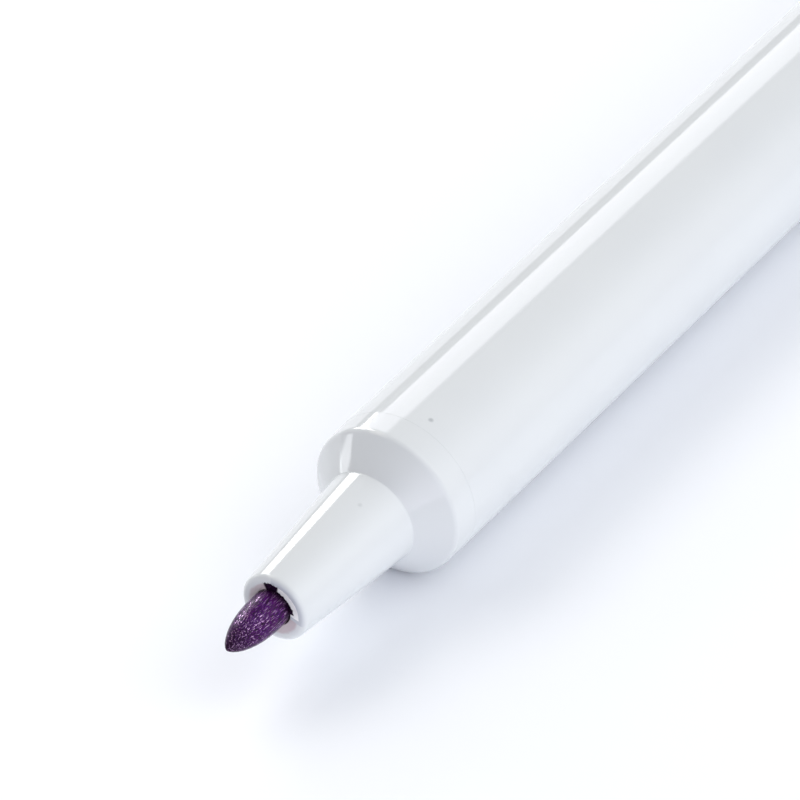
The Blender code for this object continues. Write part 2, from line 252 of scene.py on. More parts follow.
@dataclass(frozen=True)
class Datum:
    """Where the marker lies and where its pieces start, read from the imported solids.

    Attributes:
        axis_y: The marker's axis, across.
        axis_z: The marker's axis, up.
        radius: The barrel's outer radius.
        nose_x: The nose's front face.
        barrel_x: The barrel's front and back ends.
        cap_x: The cap's mouth and end.
        seal_x: The inner seal's mouth and end.
        plug_x: The end plug's front and back ends.
        nib_x: The nib's tip and tail.
        reservoir_x: The reservoir's front and back ends.
    """

    axis_y: float
    axis_z: float
    radius: float
    nose_x: float
    barrel_x: tuple[float, float]
    cap_x: tuple[float, float]
    seal_x: tuple[float, float]
    plug_x: tuple[float, float]
    nib_x: tuple[float, float]
    reservoir_x: tuple[float, float]

    @classmethod
    def from_frame(cls) -> Datum:
        """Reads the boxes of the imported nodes.

        Returns:
            The datum.
        """
        low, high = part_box("barrel")
        ends = {
            name: (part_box(name)[0].x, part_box(name)[1].x)
            for name in ("cap_shell", "cap_inner_seal", "end_plug", "nib", "reservoir_core")
        }
        return cls(
            axis_y=(low.y + high.y) / 2,
            axis_z=(low.z + high.z) / 2,
            radius=(high.z - low.z) / 2,
            nose_x=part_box("nose_section")[0].x,
            barrel_x=(low.x, high.x),
            cap_x=ends["cap_shell"],
            seal_x=ends["cap_inner_seal"],
            plug_x=ends["end_plug"],
            nib_x=ends["nib"],
            reservoir_x=ends["reservoir_core"],
        )

    def along(self, x: float) -> float:
        """Turns a place on the X axis into a distance along the marker."""
        return x - self.nose_x

    def origin(self) -> Vector:
        """The point on the axis at the nose's front face."""
        return Vector((self.nose_x, self.axis_y, self.axis_z))


class GeometryTree:
    """A Geometry Nodes tree with named inputs, used once on an object and then turned into its mesh."""

    def __init__(self, name: str, inputs: dict[str, str]) -> None:
        """Makes an empty tree.

        Args:
            name: The tree's name.
            inputs: Each input's name and the kind of its socket.
        """
        self.tree = bpy.data.node_groups.new(name, "GeometryNodeTree")
        self.tree.interface.new_socket("Geometry", in_out="INPUT", socket_type="NodeSocketGeometry")
        for label, kind in inputs.items():
            self.tree.interface.new_socket(label, in_out="INPUT", socket_type=kind)
        self.tree.interface.new_socket("Geometry", in_out="OUTPUT", socket_type="NodeSocketGeometry")
        self.source = self.add("NodeGroupInput")

    def add(self, kind: str, inputs: dict[int | str, Any] | None = None, **settings: Any) -> bpy.types.Node:
        """Adds a node to the tree, as add_node does."""
        return add_node(self.tree, kind, inputs, **settings)

    def given(self, label: str) -> bpy.types.NodeSocket:
        """The socket that carries one of the tree's inputs."""
        return self.source.outputs[label]

    def end(self, geometry: bpy.types.NodeSocket) -> None:
        """Closes the tree: realizes instances, sets the material and feeds the output.

        Args:
            geometry: The socket that carries what the tree made.
        """
        real = self.add("GeometryNodeRealizeInstances", {"Geometry": geometry})
        dressed = self.add(
            "GeometryNodeSetMaterial",
            {"Geometry": real.outputs[0], "Material": self.given("Material")},
        )
        self.add("NodeGroupOutput", {0: dressed.outputs[0]})

    def apply(self, piece: bpy.types.Object, values: dict[str, Any]) -> None:
        """Runs the tree on an object and leaves the result as the object's plain mesh.

        Args:
            piece: The object, whose mesh is the tree's input geometry.
            values: A value for each of the tree's inputs.
        """
        modifier = piece.modifiers.new(self.tree.name, "NODES")
        modifier.node_group = self.tree
        for item in self.tree.interface.items_tree:
            if item.in_out == "INPUT" and item.name in values:
                modifier[item.identifier] = values[item.name]
        settle(piece, modifier, values["Material"])


def lathe_tree() -> GeometryTree:
    """Makes the tree that turns a profile about the marker's axis.

    Its input geometry holds the profile's points (along, radius, 0). Fibre Height raises the surface in
    strands that run along the axis, so that they show cut across where the surface turns to face along it.

    Returns:
        The tree.
    """
    lathe = GeometryTree(
        "turned_about_axis",
        {
            "Segments": "NodeSocketInt",
            "Origin": "NodeSocketVector",
            "Fibre Height": "NodeSocketFloat",
            "Fibres Per Metre": "NodeSocketVector",
            "Material": "NodeSocketMaterial",
        },
    )
    profile = lathe.given("Geometry")
    count = lathe.add("GeometryNodeAttributeDomainSize", {"Geometry": profile}).outputs["Point Count"]
    columns = lathe.add(
        "FunctionNodeIntegerMath", {0: lathe.given("Segments"), 1: 1}, operation="ADD"
    ).outputs[0]
    grid = lathe.add("GeometryNodeMeshGrid", {"Vertices X": count, "Vertices Y": columns})
    index = lathe.add("GeometryNodeInputIndex").outputs[0]
    ring = lathe.add("FunctionNodeIntegerMath", {0: index, 1: columns}, operation="DIVIDE")
    column = lathe.add("FunctionNodeIntegerMath", {0: index, 1: columns}, operation="MODULO")
    sampled = lathe.add(
        "GeometryNodeSampleIndex",
        {"Geometry": profile, "Index": ring.outputs[0]},
        data_type="FLOAT_VECTOR",
    )
    place = lathe.add("GeometryNodeInputPosition")
    lathe.tree.links.new(place.outputs[0], sampled.inputs["Value"])
    angle = lathe.add(
        "ShaderNodeMapRange",
        {"Value": column.outputs[0], "From Max": lathe.given("Segments"), "To Max": 2 * math.pi},
    )
    turned = lathe.add(
        "ShaderNodeVectorRotate",
        {"Vector": sampled.outputs[0], "Angle": angle.outputs[0]},
        rotation_type="X_AXIS",
    ).outputs[0]
    across = lathe.add("ShaderNodeVectorMath", {0: turned, 1: (0.0, 1.0, 1.0)}, operation="MULTIPLY")
    outward = lathe.add("ShaderNodeVectorMath", {0: across.outputs[0]}, operation="NORMALIZE")
    strands = lathe.add(
        "ShaderNodeVectorMath", {0: turned, 1: lathe.given("Fibres Per Metre")}, operation="MULTIPLY"
    )
    noise = lathe.add("ShaderNodeTexNoise", {"Vector": strands.outputs[0], "Scale": 1.0, "Detail": 2.0})
    centred = lathe.add("ShaderNodeMath", {0: noise.outputs[0], 1: 0.5}, operation="SUBTRACT")
    height = lathe.add(
        "ShaderNodeMath", {0: centred.outputs[0], 1: lathe.given("Fibre Height")}, operation="MULTIPLY"
    )
    raised = lathe.add(
        "ShaderNodeVectorMath",
        {0: outward.outputs[0], 1: height.outputs[0], 2: turned},
        operation="MULTIPLY_ADD",
    )
    moved = lathe.add(
        "ShaderNodeVectorMath", {0: raised.outputs[0], 1: lathe.given("Origin")}, operation="ADD"
    )
    placed = lathe.add(
        "GeometryNodeSetPosition", {"Geometry": grid.outputs["Mesh"], "Position": moved.outputs[0]}
    )
    closed = lathe.add(
        "GeometryNodeMergeByDistance", {"Geometry": placed.outputs[0], "Distance": MERGE_DISTANCE}
    )
    lathe.end(closed.outputs[0])
    return lathe


def ring_cut_tree() -> GeometryTree:
    """Makes the tree that cuts a ring of equal round holes, parallel to the marker's axis.

    Returns:
        The tree.
    """
    cut = GeometryTree(
        "ring_of_holes",
        {
            "Count": "NodeSocketInt",
            "Centre": "NodeSocketVector",
            "Circle Radius": "NodeSocketFloat",
            "Hole Radius": "NodeSocketFloat",
            "Hole Length": "NodeSocketFloat",
            "Turn": "NodeSocketFloat",
            "Material": "NodeSocketMaterial",
        },
    )
    circle = cut.add(
        "GeometryNodeMeshCircle",
        {"Vertices": cut.given("Count"), "Radius": cut.given("Circle Radius")},
    )
    drill = cut.add(
        "GeometryNodeMeshCylinder",
        {"Vertices": HOLE_FACETS, "Radius": cut.given("Hole Radius"), "Depth": cut.given("Hole Length")},
    )
    drills = cut.add(
        "GeometryNodeInstanceOnPoints",
        {"Points": circle.outputs["Mesh"], "Instance": drill.outputs["Mesh"]},
    )
    spin = cut.add("ShaderNodeCombineXYZ", {"Z": cut.given("Turn")})
    spun = cut.add("GeometryNodeTransform", {"Geometry": drills.outputs[0], "Rotation": spin.outputs[0]})
    laid = cut.add(
        "GeometryNodeTransform",
        {
            "Geometry": spun.outputs[0],
            "Translation": cut.given("Centre"),
            "Rotation": (0.0, math.pi / 2, 0.0),
        },
    )
    solid = cut.add("GeometryNodeRealizeInstances", {"Geometry": laid.outputs[0]})
    drilled = cut.add(
        "GeometryNodeMeshBoolean",
        {"Mesh 1": cut.given("Geometry"), "Mesh 2": solid.outputs[0]},
        operation="DIFFERENCE",
        solver="EXACT",
    )
    cut.end(drilled.outputs["Mesh"])
    return cut


def closed_and_smooth(piece: bpy.types.Object) -> None:
    """Points a closed mesh's faces outwards and shades it smooth between its sharp edges.

    Args:
        piece: The object that holds the mesh.
    """
    shape = bmesh.new()
    shape.from_mesh(piece.data)
    bmesh.ops.recalc_face_normals(shape, faces=shape.faces)
    shape.to_mesh(piece.data)
    shape.free()
    piece.data.shade_smooth()
    piece.data.set_sharp_from_angle(angle=SHARP_ANGLE)


@dataclass
class Workshop:
    """What every piece is made with: the datum and the two Geometry Nodes trees."""

    datum: Datum
    lathe: GeometryTree = field(default_factory=lathe_tree)
    ring_cut: GeometryTree = field(default_factory=ring_cut_tree)

    def new_piece(self, name: str, points: Sequence[Sequence[float]]) -> bpy.types.Object:
        """Links an object whose mesh holds loose points.

        Args:
            name: The object's name.
            points: The points.

        Returns:
            The object.
        """
        mesh = bpy.data.meshes.new(name)
        mesh.from_pydata([tuple(point) for point in points], [], [])
        return link_object(name, mesh)

    def turn(
        self,
        name: str,
        profile: Sequence[tuple[float, float]],
        material: bpy.types.Material,
        segments: int = 192,
        fibre: tuple[float, float, float] = (0.0, 1.0, 1.0),
        shift: tuple[float, float, float] = (0.0, 0.0, 0.0),
    ) -> bpy.types.Object:
        """Turns a profile about the marker's axis into a closed piece.

        Args:
            name: The piece's name.
            profile: The points (along, radius), closed on the axis or back at the first point.
            material: The piece's finish.
            segments: Facets round the axis.
            fibre: Height, width and length of the strands in its surface.
            shift: How far it sits from the axis, within its play.

        Returns:
            The piece.
        """
        piece = self.new_piece(name, [(along, radius, 0.0) for along, radius in profile])
        height, width, length = fibre
        values = {
            "Segments": segments,
            "Origin": self.datum.origin() + Vector(shift),
            "Fibre Height": height,
            "Fibres Per Metre": Vector((1 / length, 1 / width, 1 / width)),
            "Material": material,
        }
        self.lathe.apply(piece, values)
        closed_and_smooth(piece)
        return piece

    def drill(
        self,
        piece: bpy.types.Object,
        count: int,
        circle_radius: float,
        hole_radius: float,
        span: tuple[float, float],
        turn: float = 0.0,
    ) -> None:
        """Cuts a ring of round holes, parallel to the axis, into a piece.

        Args:
            piece: The piece to cut.
            count: How many holes.
            circle_radius: Radius of the circle that their centres lie on.
            hole_radius: Radius of one hole.
            span: Where the holes start and end along the marker.
            turn: Angle of the first hole.
        """
        centre = self.datum.origin() + Vector(((span[0] + span[1]) / 2, 0.0, 0.0))
        values = {
            "Count": count,
            "Centre": centre,
            "Circle Radius": circle_radius,
            "Hole Radius": hole_radius,
            "Hole Length": span[1] - span[0],
            "Turn": turn,
            "Material": piece.data.materials[0],
        }
        self.ring_cut.apply(piece, values)
        closed_and_smooth(piece)

    def hand_over(self, piece: bpy.types.Object, body: Body, slot: Slot, *nodes: str) -> None:
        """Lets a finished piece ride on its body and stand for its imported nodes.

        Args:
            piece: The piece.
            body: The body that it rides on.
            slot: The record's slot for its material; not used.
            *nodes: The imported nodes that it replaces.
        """
        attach(piece, body.value)
        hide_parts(*nodes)
        LOG.info("%s: %d faces, on %s", piece.name, len(piece.data.polygons), body.value)


def centred_on(tree: bpy.types.NodeTree, datum: Datum) -> bpy.types.NodeSocket:
    """Adds the place on a surface, from the point on the axis at the nose's front face.

    Args:
        tree: The material's nodes.
        datum: The marker's place.

    Returns:
        The socket that carries it.
    """
    coordinates = add_node(tree, "ShaderNodeTexCoord")
    shift = {"Vector": coordinates.outputs["Object"], "Location": -datum.origin()}
    return add_node(tree, "ShaderNodeMapping", shift).outputs[0]


@dataclass(frozen=True)
class Speck:
    """A dark speck caught in a moulding.

    Attributes:
        place: Where it is, from the point on the axis at the nose's front face.
        radius: Its radius.
        strength: How far it darkens the plastic, from 0 to 1.
    """

    place: tuple[float, float, float]
    radius: float
    strength: float

    COLOUR = "#5F666E"
    CORE = 0.35

    def over(
        self,
        tree: bpy.types.NodeTree,
        centred: bpy.types.NodeSocket,
        colour: bpy.types.NodeSocket,
    ) -> bpy.types.NodeSocket:
        """Paints the speck over a colour.

        Args:
            tree: The material's nodes.
            centred: The place on the surface, from the same point as the speck's.
            colour: The colour under it.

        Returns:
            The painted colour.
        """
        away = add_node(tree, "ShaderNodeVectorMath", {0: centred, 1: self.place}, operation="DISTANCE")
        fade = {
            "Value": away.outputs["Value"],
            "From Min": self.radius * self.CORE,
            "From Max": self.radius,
            "To Min": self.strength,
            "To Max": 0.0,
        }
        cover = add_node(tree, "ShaderNodeMapRange", fade)
        paint = {MIX_FACTOR: cover.outputs[0], MIX_FIRST: colour, MIX_SECOND: linear(self.COLOUR)}
        return add_node(tree, "ShaderNodeMix", paint, data_type="RGBA").outputs[MIX_RESULT]


@dataclass(frozen=True)
class MouthMark:
    """A mark round the mouth with a ragged border: ink that crept from the nib, painted shade, or a painted
    highlight.

    Attributes:
        colour: Its colour.
        middle: The direction of its middle, across and up, of length 1.
        reach: The radius that it reaches at its middle.
        tooth_height: Height of the teeth of its border.
        tooth_width: Width of those teeth.
        border: How wide its border's fade is.
        flare: How much further it reaches a quarter turn away.
        end: The cosine of the angle from its middle at which it ends, or -1 if it goes all round.
    """

    colour: str
    middle: tuple[float, float, float]
    reach: float
    tooth_height: float
    tooth_width: float
    border: float
    flare: float = 0.0
    end: float = -1.0

    END_FADE = 0.02

    def over(
        self,
        tree: bpy.types.NodeTree,
        centred: bpy.types.NodeSocket,
        colour: bpy.types.NodeSocket,
    ) -> bpy.types.NodeSocket:
        """Paints the mark over a colour.

        Args:
            tree: The material's nodes.
            centred: The place on the surface, from the point on the axis at the nose's front face.
            colour: The colour under it.

        Returns:
            The painted colour.
        """
        flat = {0: centred, 1: (0.0, 1.0, 1.0)}
        spoke = add_node(tree, "ShaderNodeVectorMath", flat, operation="MULTIPLY").outputs[0]
        radius = add_node(tree, "ShaderNodeVectorMath", {0: spoke}, operation="LENGTH").outputs["Value"]
        outward = add_node(tree, "ShaderNodeVectorMath", {0: spoke}, operation="NORMALIZE").outputs[0]
        dot = {0: outward, 1: self.middle}
        facing = add_node(tree, "ShaderNodeVectorMath", dot, operation="DOT_PRODUCT").outputs["Value"]
        reach = {"Value": facing, "To Min": self.reach + self.flare, "To Max": self.reach}
        border = add_node(tree, "ShaderNodeMapRange", reach)
        noise = {"Vector": centred, "Scale": 1 / self.tooth_width, "Detail": 1.0}
        teeth = add_node(tree, "ShaderNodeTexNoise", noise)
        raised = {0: teeth.outputs[0], 1: self.tooth_height, 2: border.outputs[0]}
        ragged = add_node(tree, "ShaderNodeMath", raised, operation="MULTIPLY_ADD")
        inside = add_node(tree, "ShaderNodeMath", {0: ragged.outputs[0], 1: radius}, operation="SUBTRACT")
        ends = {"Value": facing, "From Min": self.end - self.END_FADE, "From Max": self.end}
        fade = add_node(tree, "ShaderNodeMapRange", ends)
        edge = {"Value": inside.outputs[0], "From Max": self.border, "To Max": fade.outputs[0]}
        cover = add_node(tree, "ShaderNodeMapRange", edge)
        paint = {MIX_FACTOR: cover.outputs[0], MIX_FIRST: colour, MIX_SECOND: linear(self.colour)}
        return add_node(tree, "ShaderNodeMix", paint, data_type="RGBA").outputs[MIX_RESULT]


@dataclass(frozen=True)
class MouldedPlastic:
    """Injection-moulded polypropylene or polyethylene: smooth, with a faint ripple from the mould.

    The eye gets long soft highlights with slightly uneven borders. The polish of a mould is too fine
    to show, so its grain and ripple are drawn as coarse as a fraction of a millimetre.

    Attributes:
        name: What the plastic is.
        colour: Its colour.
        cloud: The colour of its faint clouds, where pigment is denser.
        roughness: Its roughness.
        marks: Specks and stains on it, and painted shade and highlights.
        ripple: Height of the ripple that breaks up its reflections.
    """

    name: str
    colour: str
    cloud: str
    roughness: float
    marks: tuple[Speck | MouthMark, ...] = ()
    ripple: float = 0.0002 * MM

    IOR = 1.49
    CLOUD_WIDTH = 6.0 * MM
    RIPPLE_WIDTH = 0.9 * MM
    GRAIN_WIDTH = 0.25 * MM
    GRAIN_SHARE = 0.15

    def material(self, datum: Datum) -> bpy.types.Material:
        """Builds the finish as nodes.

        Args:
            datum: The marker's place, which centres the patterns.

        Returns:
            The material.
        """
        material, tree, shader = new_material(self.name)
        shader.inputs["IOR"].default_value = self.IOR
        centred = centred_on(tree, datum)
        noise = {"Vector": centred, "Scale": 1 / self.CLOUD_WIDTH, "Detail": 2.0}
        clouds = add_node(tree, "ShaderNodeTexNoise", noise)
        shades = {
            MIX_FACTOR: clouds.outputs[0],
            MIX_FIRST: linear(self.colour),
            MIX_SECOND: linear(self.cloud),
        }
        colour = add_node(tree, "ShaderNodeMix", shades, data_type="RGBA").outputs[MIX_RESULT]
        for mark in self.marks:
            colour = mark.over(tree, centred, colour)
        noise = {"Vector": centred, "Scale": 1 / self.GRAIN_WIDTH, "Detail": 1.0}
        grain = add_node(tree, "ShaderNodeTexNoise", noise)
        gloss = {
            "Value": grain.outputs[0],
            "To Min": self.roughness * (1 - self.GRAIN_SHARE),
            "To Max": self.roughness * (1 + self.GRAIN_SHARE),
        }
        roughness = add_node(tree, "ShaderNodeMapRange", gloss)
        noise = {"Vector": centred, "Scale": 1 / self.RIPPLE_WIDTH, "Detail": 1.0}
        ripple = add_node(tree, "ShaderNodeTexNoise", noise)
        relief = {"Height": ripple.outputs[0], "Distance": self.ripple, "Strength": 1.0}
        bump = add_node(tree, "ShaderNodeBump", relief)
        tree.links.new(colour, shader.inputs["Base Color"])
        tree.links.new(roughness.outputs[0], shader.inputs["Roughness"])
        tree.links.new(bump.outputs[0], shader.inputs["Normal"])
        return material


@dataclass(frozen=True)
class BondedFibre:
    """Polyester fibres bonded into a rod along its length, wet with ink: streaked, with pale glints.

    A single fibre, about 0.02 mm across, is too fine to show, so bundles of fibres are drawn.

    Attributes:
        name: What the rod is.
        shades: Its colours: the gaps between fibres, the two of its fibres, and the fibres' tops.
        roughness: Its roughness, on the wet tops and in the gaps.
        strand_width: Width of one visible bundle of fibres.
        strand_length: Length over which a bundle keeps its shade.
        patch_width: Width of the patches in which one of the two fibre colours prevails.
        relief: Depth of the fine relief between fibres.
        lustre: How metallic dried ink makes the fibres' tops, from 0 to 1.
        soak_and_shade_ends: How far from the nib's tip it is soaked darker, and how far from the mouth it
            is darker, soaked and in painted shade.
    """

    name: str
    shades: tuple[str, str, str, str]
    roughness: tuple[float, float]
    strand_width: float
    strand_length: float
    patch_width: float
    relief: float
    lustre: float = 0.0
    soak_and_shade_ends: tuple[float, float] | None = None

    IOR = 1.38
    SHINE = 0.2
    GAPS = (0.4, 0.5)
    TOPS = (0.58, 0.66)

    def soaked(
        self,
        tree: bpy.types.NodeTree,
        centred: bpy.types.NodeSocket,
        datum: Datum,
    ) -> bpy.types.NodeSocket:
        """Adds how far the rod is darkened at a place, from 0 to 1: soaked near the tip, soaked and in
        painted shade near the mouth.

        Args:
            tree: The material's nodes.
            centred: The place on the surface, from the point on the axis at the nose's front face.
            datum: The marker's place.

        Returns:
            The socket that carries it.
        """
        tip = datum.along(datum.nib_x[0])
        place = add_node(tree, "ShaderNodeSeparateXYZ", {0: centred}).outputs["X"]
        near_tip = {
            "Value": place,
            "From Min": tip,
            "From Max": tip + self.soak_and_shade_ends[0],
            "To Min": 1.0,
            "To Max": 0.0,
        }
        # Towards the mouth the darkening is partly soak and partly painted shade of the mouth.
        near_mouth = {"Value": place, "From Min": -self.soak_and_shade_ends[1], "From Max": 0.0}
        ends = [add_node(tree, "ShaderNodeMapRange", end).outputs[0] for end in (near_tip, near_mouth)]
        either = {0: ends[0], 1: ends[1]}
        return add_node(tree, "ShaderNodeMath", either, operation="MAXIMUM").outputs[0]

    def material(self, datum: Datum) -> bpy.types.Material:
        """Builds the finish as nodes.

        Args:
            datum: The marker's place, which centres the patterns.

        Returns:
            The material.
        """
        material, tree, shader = new_material(self.name)
        shader.inputs["IOR"].default_value = self.IOR
        shader.inputs["Specular IOR Level"].default_value = self.SHINE
        centred = centred_on(tree, datum)
        across = 1 / self.strand_width
        drawn_out = {"Vector": centred, "Scale": (1 / self.strand_length, across, across)}
        strand = add_node(tree, "ShaderNodeMapping", drawn_out)
        noise = {"Vector": strand.outputs[0], "Scale": 1.0, "Detail": 2.0, "Roughness": 0.6}
        streaks = add_node(tree, "ShaderNodeTexNoise", noise).outputs[0]
        patches = add_node(tree, "ShaderNodeTexNoise", {"Vector": centred, "Scale": 1 / self.patch_width})
        gap, first, second, top = (linear(shade) for shade in self.shades)
        shades = {MIX_FACTOR: patches.outputs[0], MIX_FIRST: first, MIX_SECOND: second}
        fibre = add_node(tree, "ShaderNodeMix", shades, data_type="RGBA").outputs[MIX_RESULT]
        range_of = {"Value": streaks, "From Min": self.GAPS[0], "From Max": self.GAPS[1]}
        solid = add_node(tree, "ShaderNodeMapRange", range_of).outputs[0]
        shades = {MIX_FACTOR: solid, MIX_FIRST: gap, MIX_SECOND: fibre}
        body = add_node(tree, "ShaderNodeMix", shades, data_type="RGBA").outputs[MIX_RESULT]
        if self.soak_and_shade_ends:
            shades = {MIX_FACTOR: self.soaked(tree, centred, datum), MIX_FIRST: body, MIX_SECOND: gap}
            body = add_node(tree, "ShaderNodeMix", shades, data_type="RGBA").outputs[MIX_RESULT]
        range_of = {"Value": streaks, "From Min": self.TOPS[0], "From Max": self.TOPS[1]}
        ridge = add_node(tree, "ShaderNodeMapRange", range_of).outputs[0]
        shades = {MIX_FACTOR: ridge, MIX_FIRST: body, MIX_SECOND: top}
        colour = add_node(tree, "ShaderNodeMix", shades, data_type="RGBA").outputs[MIX_RESULT]
        wet, dry = self.roughness
        roughness = add_node(tree, "ShaderNodeMapRange", {"Value": solid, "To Min": dry, "To Max": wet})
        relief = {"Height": streaks, "Distance": self.relief, "Strength": 1.0}
        bump = add_node(tree, "ShaderNodeBump", relief)
        if self.lustre:
            lustre = add_node(tree, "ShaderNodeMapRange", {"Value": ridge, "To Max": self.lustre})
            tree.links.new(lustre.outputs[0], shader.inputs["Metallic"])
        tree.links.new(colour, shader.inputs["Base Color"])
        tree.links.new(roughness.outputs[0], shader.inputs["Roughness"])
        tree.links.new(bump.outputs[0], shader.inputs["Normal"])
        return material


@dataclass(frozen=True)
class ClearFilm:
    """Thin clear polypropylene film: it lets the core's colour through and shines at its edges.

    Attributes:
        name: What the film is.
        colour: Its colour.
        alpha: How much of what lies under it it covers, from 0 to 1.
    """

    name: str
    colour: str
    alpha: float

    ROUGHNESS = 0.12
    CREASE_LENGTH = 30.0 * MM
    CREASE_WIDTH = 1.2 * MM
    CREASE_DEPTH = 0.02 * MM

    def material(self) -> bpy.types.Material:
        """Builds the finish as nodes, with faint creases along the marker.

        Returns:
            The material.
        """
        material, tree, shader = new_material(self.name)
        shader.inputs["Base Color"].default_value = linear(self.colour)
        shader.inputs["Roughness"].default_value = self.ROUGHNESS
        shader.inputs["Alpha"].default_value = self.alpha
        coordinates = add_node(tree, "ShaderNodeTexCoord")
        lengths = (self.CREASE_LENGTH, self.CREASE_WIDTH, self.CREASE_WIDTH)
        drawn_out = {"Vector": coordinates.outputs["Object"], "Scale": [1 / length for length in lengths]}
        crease = add_node(tree, "ShaderNodeMapping", drawn_out)
        folds = add_node(tree, "ShaderNodeTexNoise", {"Vector": crease.outputs[0], "Scale": 1.0})
        relief = {"Height": folds.outputs[0], "Distance": self.CREASE_DEPTH}
        bump = add_node(tree, "ShaderNodeBump", relief)
        tree.links.new(bump.outputs[0], shader.inputs["Normal"])
        return material


INK = "#1B0A22"
INK_SIDE = (0.0, -0.67, 0.742)
BLOT_SIDE = (0.0, 0.102, 0.995)
# The middle of the painted highlight and of the painted shade on the lip.
PAINTED_CRESCENT_SIDE = (0.0, -0.755, 0.654)
CONE_SPECK = Speck(place=(8.06 * MM, -0.81 * MM, 2.89 * MM), radius=0.2 * MM, strength=0.14)
BARREL_SPECK = Speck(place=(14.98 * MM, -1.32 * MM, 5.07 * MM), radius=0.22 * MM, strength=0.36)
# Painted shade, tinted pink, all round the dish by the nib, where the nib shades it.
PAINTED_DISH_SHADE = MouthMark(
    colour="#C8BBC0",
    middle=INK_SIDE,
    reach=1.76 * MM,
    tooth_height=0.16 * MM,
    tooth_width=0.5 * MM,
    border=0.16 * MM,
)
# Painted shade: a grey band on the lip's near side, just outside the painted highlight.
PAINTED_LIP_SHADE = MouthMark(
    colour="#C6CAD2",
    middle=PAINTED_CRESCENT_SIDE,
    reach=2.24 * MM,
    tooth_height=0.04 * MM,
    tooth_width=0.3 * MM,
    border=0.24 * MM,
    end=0.6,
)
# Painted highlight: a white crescent on the dish's near side, where its inner edge catches light.
PAINTED_DISH_HIGHLIGHT = MouthMark(
    colour="#FFFFFF",
    middle=PAINTED_CRESCENT_SIDE,
    reach=1.83 * MM,
    tooth_height=0.06 * MM,
    tooth_width=0.3 * MM,
    border=0.04 * MM,
    end=0.72,
)
CREPT_INK = MouthMark(
    colour=INK,
    middle=INK_SIDE,
    reach=1.33 * MM,
    tooth_height=0.2 * MM,
    tooth_width=0.14 * MM,
    border=0.03 * MM,
    flare=0.1 * MM,
    end=0.73,
)
INK_BLOT = MouthMark(
    colour=INK,
    middle=BLOT_SIDE,
    reach=1.72 * MM,
    tooth_height=0.3 * MM,
    tooth_width=0.16 * MM,
    border=0.03 * MM,
    end=0.965,
)
WHITE_COLOURS = ("#DEE1E3", "#DADDE0")
WHITE_ROUGHNESS = 0.1
# White polypropylene from a polished mould: bright and glossy, grey only where it mirrors the dark. Round
# the nose's mouth it also carries ink stains, painted shade and a painted highlight.
NOSE_WHITE = MouldedPlastic(
    "white_moulded_polypropylene_inked_painted_mouth_light",
    *WHITE_COLOURS,
    WHITE_ROUGHNESS,
    (CONE_SPECK, PAINTED_DISH_SHADE, PAINTED_LIP_SHADE, PAINTED_DISH_HIGHLIGHT, CREPT_INK, INK_BLOT),
)
BARREL_WHITE = MouldedPlastic(
    "white_moulded_polypropylene",
    *WHITE_COLOURS,
    WHITE_ROUGHNESS,
    (BARREL_SPECK,),
)
# Violet polypropylene, the ink's colour: glossy, with broader highlights than the white.
VIOLET = MouldedPlastic("violet_moulded_polypropylene", "#4F2C7E", "#48266F", 0.2)
# Natural polyethylene: milky and waxy, with no sharp highlight.
NATURAL = MouldedPlastic("natural_moulded_polyethylene", "#E4E2DA", "#DAD8D0", 0.38)
# The nib: dark and wet, violet between red and blue, with pale glints on the tops of its fibres.
NIB_FIBRE = BondedFibre(
    name="inked_bonded_fibre",
    shades=("#1D0420", "#500B4E", "#3E0F68", "#B892BE"),
    roughness=(0.14, 0.5),
    strand_width=0.05 * MM,
    strand_length=0.6 * MM,
    patch_width=1.1 * MM,
    relief=0.006 * MM,
    lustre=0.85,
    # Darker towards the tip, soaked, and towards the mouth, soaked and in painted shade.
    soak_and_shade_ends=(2.2 * MM, 0.5 * MM),
)
# The reservoir's core: soft and dull, evenly soaked.
CORE_FIBRE = BondedFibre(
    name="soaked_soft_fibre",
    shades=("#2B1040", "#5A2F86", "#512A7C", "#8A66B0"),
    roughness=(0.6, 0.8),
    strand_width=0.3 * MM,
    strand_length=8.0 * MM,
    patch_width=5.0 * MM,
    relief=0.05 * MM,
)
FILM = ClearFilm(name="clear_thin_film", colour="#E4E6EC", alpha=0.35)


